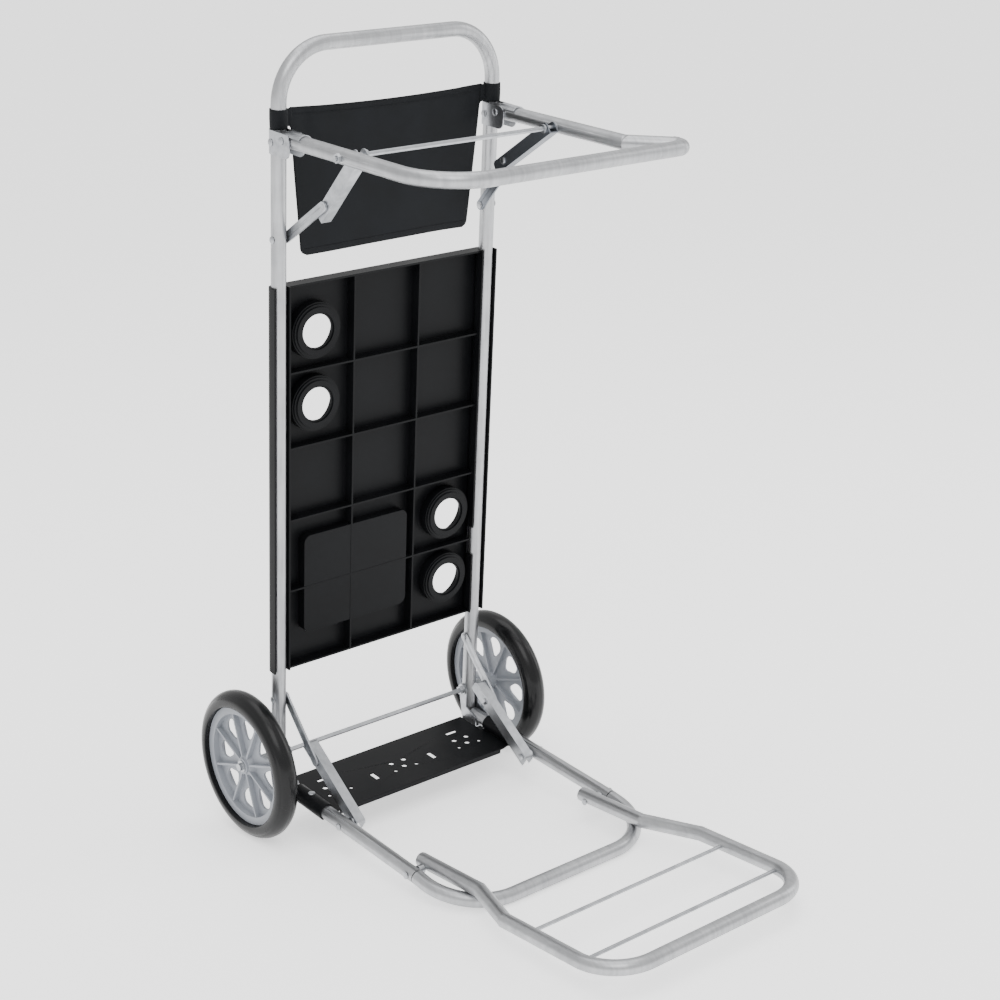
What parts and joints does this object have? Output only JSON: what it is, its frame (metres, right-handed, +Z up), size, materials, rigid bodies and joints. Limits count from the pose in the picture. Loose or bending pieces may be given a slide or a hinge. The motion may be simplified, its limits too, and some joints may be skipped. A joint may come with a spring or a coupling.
{
  "type": "folding hand cart",
  "caption": "Folding aluminium hand cart with a drop-down bag hoop, black table panel with cup wells, perforated base plate, folding toe frame and flip-out extension on spoked plastic wheels.",
  "frame": {"origin": "centre of the bounding box on the floor", "axes": "+X across the cart to its right side seen from the front of the picture, -Y forward along the toe and extension, +Z up"},
  "size_m": [0.4568, 0.7641, 1.0429],
  "materials": {
    "tube": "satin brushed",
    "zinc": "bright zinc plate",
    "dark_zinc": "blue-grey zinc plate",
    "black_plastic": "satin moulded",
    "wheel_plastic": "satin moulded",
    "tyre": "smooth",
    "fabric": "coated weave",
    "plug_plastic": "satin moulded"
  },
  "bodies": {
    "frame": {"handle_frame": "tube", "foot_plugs": "plug_plastic", "hoop_bracket_left": "zinc", "hoop_bracket_right": "zinc", "frame_rivets": "zinc", "bag_flap": "fabric", "table_panel": "black_plastic", "axle_rod": "zinc", "axle_spacers": "plug_plastic", "axle_nuts": "zinc", "axle_caps": "zinc"},
    "wheel_left": {"rim_left": "wheel_plastic", "tyre_left": "tyre"},
    "wheel_right": {"rim_right": "wheel_plastic", "tyre_right": "tyre"},
    "toe": {"toe_frame": "tube", "toe_crossbar": "tube", "toe_plugs": "plug_plastic", "toe_brackets": "zinc", "toe_rivets": "zinc", "base_plate": "black_plastic", "plate_rivets": "zinc", "extension_pivots": "zinc"},
    "extension": {"extension_frame": "tube", "extension_rods": "zinc", "extension_plugs": "plug_plastic"},
    "toe_link_left": {"toe_link_left": "zinc", "toe_link_heads_left": "zinc"},
    "toe_link_right": {"toe_link_right": "zinc", "toe_link_heads_right": "zinc"},
    "toe_channel_left": {"toe_channel_left": "zinc", "toe_knee_rivet_left": "zinc"},
    "toe_channel_right": {"toe_channel_right": "zinc", "toe_knee_rivet_right": "zinc"},
    "hoop": {"hoop_frame": "tube", "hoop_plugs": "plug_plastic", "hoop_saddles": "zinc", "hoop_cross_rod": "zinc", "hoop_rod_nuts": "zinc"},
    "hoop_link_left": {"hoop_link_left": "zinc", "hoop_link_heads_left": "zinc"},
    "hoop_link_right": {"hoop_link_right": "dark_zinc", "hoop_link_heads_right": "zinc"},
    "hoop_channel_left": {"hoop_channel_left": "zinc", "hoop_knee_rivet_left": "zinc"},
    "hoop_channel_right": {"hoop_channel_right": "dark_zinc", "hoop_knee_rivet_right": "zinc"}
  },
  "joints": [
    {"name": "wheel_left_spin", "type": "hinge", "parent": "frame", "child": "wheel_left", "pos_m": [0, 0.28045, 0.1016], "axis": [1, 0, 0], "continuous": true},
    {"name": "wheel_right_spin", "type": "hinge", "parent": "frame", "child": "wheel_right", "pos_m": [0, 0.28045, 0.1016], "axis": [1, 0, 0], "continuous": true},
    {"name": "toe_fold", "type": "hinge", "parent": "frame", "child": "toe", "pos_m": [0, 0.28045, 0.1016], "axis": [-1, 0, 0], "range_deg": [0, 55]},
    {"name": "extension_fold", "type": "hinge", "parent": "toe", "child": "extension", "pos_m": [0, -0.00386, 0.0288], "axis": [1, 0, 0], "range_deg": [-130, 0]},
    {"name": "hoop_fold", "type": "hinge", "parent": "frame", "child": "hoop", "pos_m": [0, 0.1556, 0.92599], "axis": [1, 0, 0], "range_deg": [0, 90]},
    {"name": "toe_link_left_swing", "type": "hinge", "parent": "frame", "child": "toe_link_left", "pos_m": [0, 0.27015, 0.18426], "axis": [-1, 0, 0], "range_deg": [0, 106.81]},
    {"name": "toe_channel_left_swing", "type": "hinge", "parent": "toe", "child": "toe_channel_left", "pos_m": [0, 0.13698, 0.04634], "axis": [-1, 0, 0], "range_deg": [-66.72, 0]},
    {"name": "toe_link_right_swing", "type": "hinge", "parent": "frame", "child": "toe_link_right", "pos_m": [0, 0.27015, 0.18426], "axis": [-1, 0, 0], "range_deg": [0, 106.81]},
    {"name": "toe_channel_right_swing", "type": "hinge", "parent": "toe", "child": "toe_channel_right", "pos_m": [0, 0.13698, 0.04634], "axis": [-1, 0, 0], "range_deg": [-66.72, 0]},
    {"name": "hoop_link_left_swing", "type": "hinge", "parent": "frame", "child": "hoop_link_left", "pos_m": [0, 0.19294, 0.80417], "axis": [1, 0, 0], "range_deg": [0, 90.9]},
    {"name": "hoop_channel_left_swing", "type": "hinge", "parent": "hoop", "child": "hoop_channel_left", "pos_m": [0, 0.04317, 0.91437], "axis": [1, 0, 0], "range_deg": [-147.9, 0]},
    {"name": "hoop_link_right_swing", "type": "hinge", "parent": "frame", "child": "hoop_link_right", "pos_m": [0, 0.19294, 0.80417], "axis": [1, 0, 0], "range_deg": [0, 105.12]},
    {"name": "hoop_channel_right_swing", "type": "hinge", "parent": "hoop", "child": "hoop_channel_right", "pos_m": [0, 0.04317, 0.91437], "axis": [1, 0, 0], "range_deg": [-162.66, 0]}
  ],
  "couplings": [
    {"joint": "toe_link_left_swing", "follows": "toe_fold", "ratio": 1.941},
    {"joint": "toe_channel_left_swing", "follows": "toe_fold", "ratio": -1.2124},
    {"joint": "toe_link_right_swing", "follows": "toe_fold", "ratio": 1.941},
    {"joint": "toe_channel_right_swing", "follows": "toe_fold", "ratio": -1.2124},
    {"joint": "hoop_link_left_swing", "follows": "hoop_fold", "ratio": 1.0095},
    {"joint": "hoop_channel_left_swing", "follows": "hoop_fold", "ratio": -1.6425},
    {"joint": "hoop_link_right_swing", "follows": "hoop_fold", "ratio": 1.1675},
    {"joint": "hoop_channel_right_swing", "follows": "hoop_fold", "ratio": -1.8064}
  ]
}
